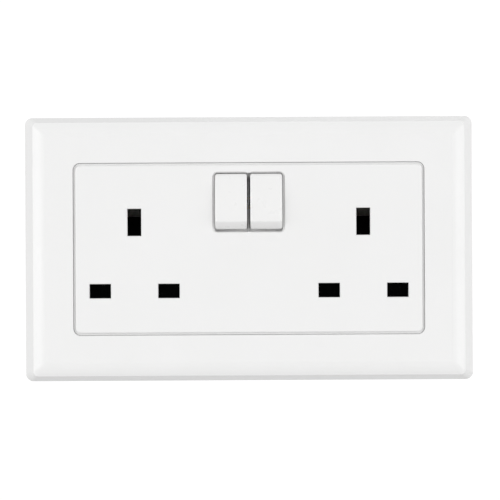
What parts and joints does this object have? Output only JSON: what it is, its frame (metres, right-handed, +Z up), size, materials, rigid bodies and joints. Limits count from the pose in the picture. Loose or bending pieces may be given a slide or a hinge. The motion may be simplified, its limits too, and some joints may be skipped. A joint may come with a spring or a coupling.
{
  "type": "twin switched socket outlet",
  "caption": "Switched wall socket outlet pair: clip-on bevelled cover frame, face panel with shuttered pin apertures and rockers, and a rear housing with brass contacts and terminals.",
  "frame": {"origin": "on the wall plane, midway between the fixing holes", "axes": "+X to the right as seen from the room, +Y rearwards into the wall, +Z up"},
  "size_m": [0.146, 0.0293, 0.086],
  "materials": {
    "white_face": "smooth glossy white moulding",
    "rear_moulding": "fine matt moulding",
    "dark_shutter": "matt black moulding",
    "nylon": "natural nylon",
    "brass": "pressed and turned brass",
    "copper": "pressed copper alloy",
    "silver": "silver contact tip",
    "steel": "zinc plated steel"
  },
  "bodies": {
    "base": {"cover_frame": "white_face", "front_panel": "white_face", "rear_housing": "rear_moulding", "line_feed_bar": "brass", "neutral_bar": "brass", "earth_bar": "brass", "line_contact_left": "brass", "line_contact_right": "brass", "neutral_terminal": "brass", "earth_terminal": "brass", "line_terminal": "brass", "terminal_screws": "brass", "fixed_tip_left": "silver", "fixed_tip_right": "silver", "rocker_pivot_pin": "steel", "housing_screws": "steel", "shutter_spring_left": "steel", "shutter_spring_right": "steel"},
    "rocker_left": {"rocker_left": "white_face", "plunger_left": "nylon", "plunger_spring_left": "steel"},
    "rocker_right": {"rocker_right": "white_face", "plunger_right": "nylon", "plunger_spring_right": "steel"},
    "contact_left": {"moving_contact_left": "copper", "moving_tip_left": "silver"},
    "contact_right": {"moving_contact_right": "copper", "moving_tip_right": "silver"},
    "shutter_left": {"shutter_left": "dark_shutter"},
    "shutter_right": {"shutter_right": "dark_shutter"}
  },
  "joints": [
    {"name": "rocker_left_tilt", "type": "hinge", "parent": "base", "child": "rocker_left", "pos_m": [-0.0057, -0.0045, 0.015], "axis": [1, 0, 0], "range_deg": [0, 12]},
    {"name": "contact_left_tilt", "type": "hinge", "parent": "base", "child": "contact_left", "pos_m": [-0.0057, 0.0074, 0.015], "axis": [1, 0, 0], "range_deg": [-25, 0]},
    {"name": "shutter_left_slide", "type": "slide", "parent": "base", "child": "shutter_left", "axis": [0, 0, -1], "range_m": [0, 0.006], "stiffness_N_per_m": 150, "springref_m": -0.004, "deforming": ["shutter_spring_left"]},
    {"name": "rocker_right_tilt", "type": "hinge", "parent": "base", "child": "rocker_right", "pos_m": [0.0057, -0.0045, 0.015], "axis": [1, 0, 0], "range_deg": [0, 12]},
    {"name": "contact_right_tilt", "type": "hinge", "parent": "base", "child": "contact_right", "pos_m": [0.0057, 0.0074, 0.015], "axis": [1, 0, 0], "range_deg": [-25, 0]},
    {"name": "shutter_right_slide", "type": "slide", "parent": "base", "child": "shutter_right", "axis": [0, 0, -1], "range_m": [0, 0.006], "stiffness_N_per_m": 150, "springref_m": -0.004, "deforming": ["shutter_spring_right"]}
  ],
  "couplings": [
    {"joint": "contact_left_tilt", "follows": "rocker_left_tilt", "ratio": -2.0833},
    {"joint": "contact_right_tilt", "follows": "rocker_right_tilt", "ratio": -2.0833}
  ]
}
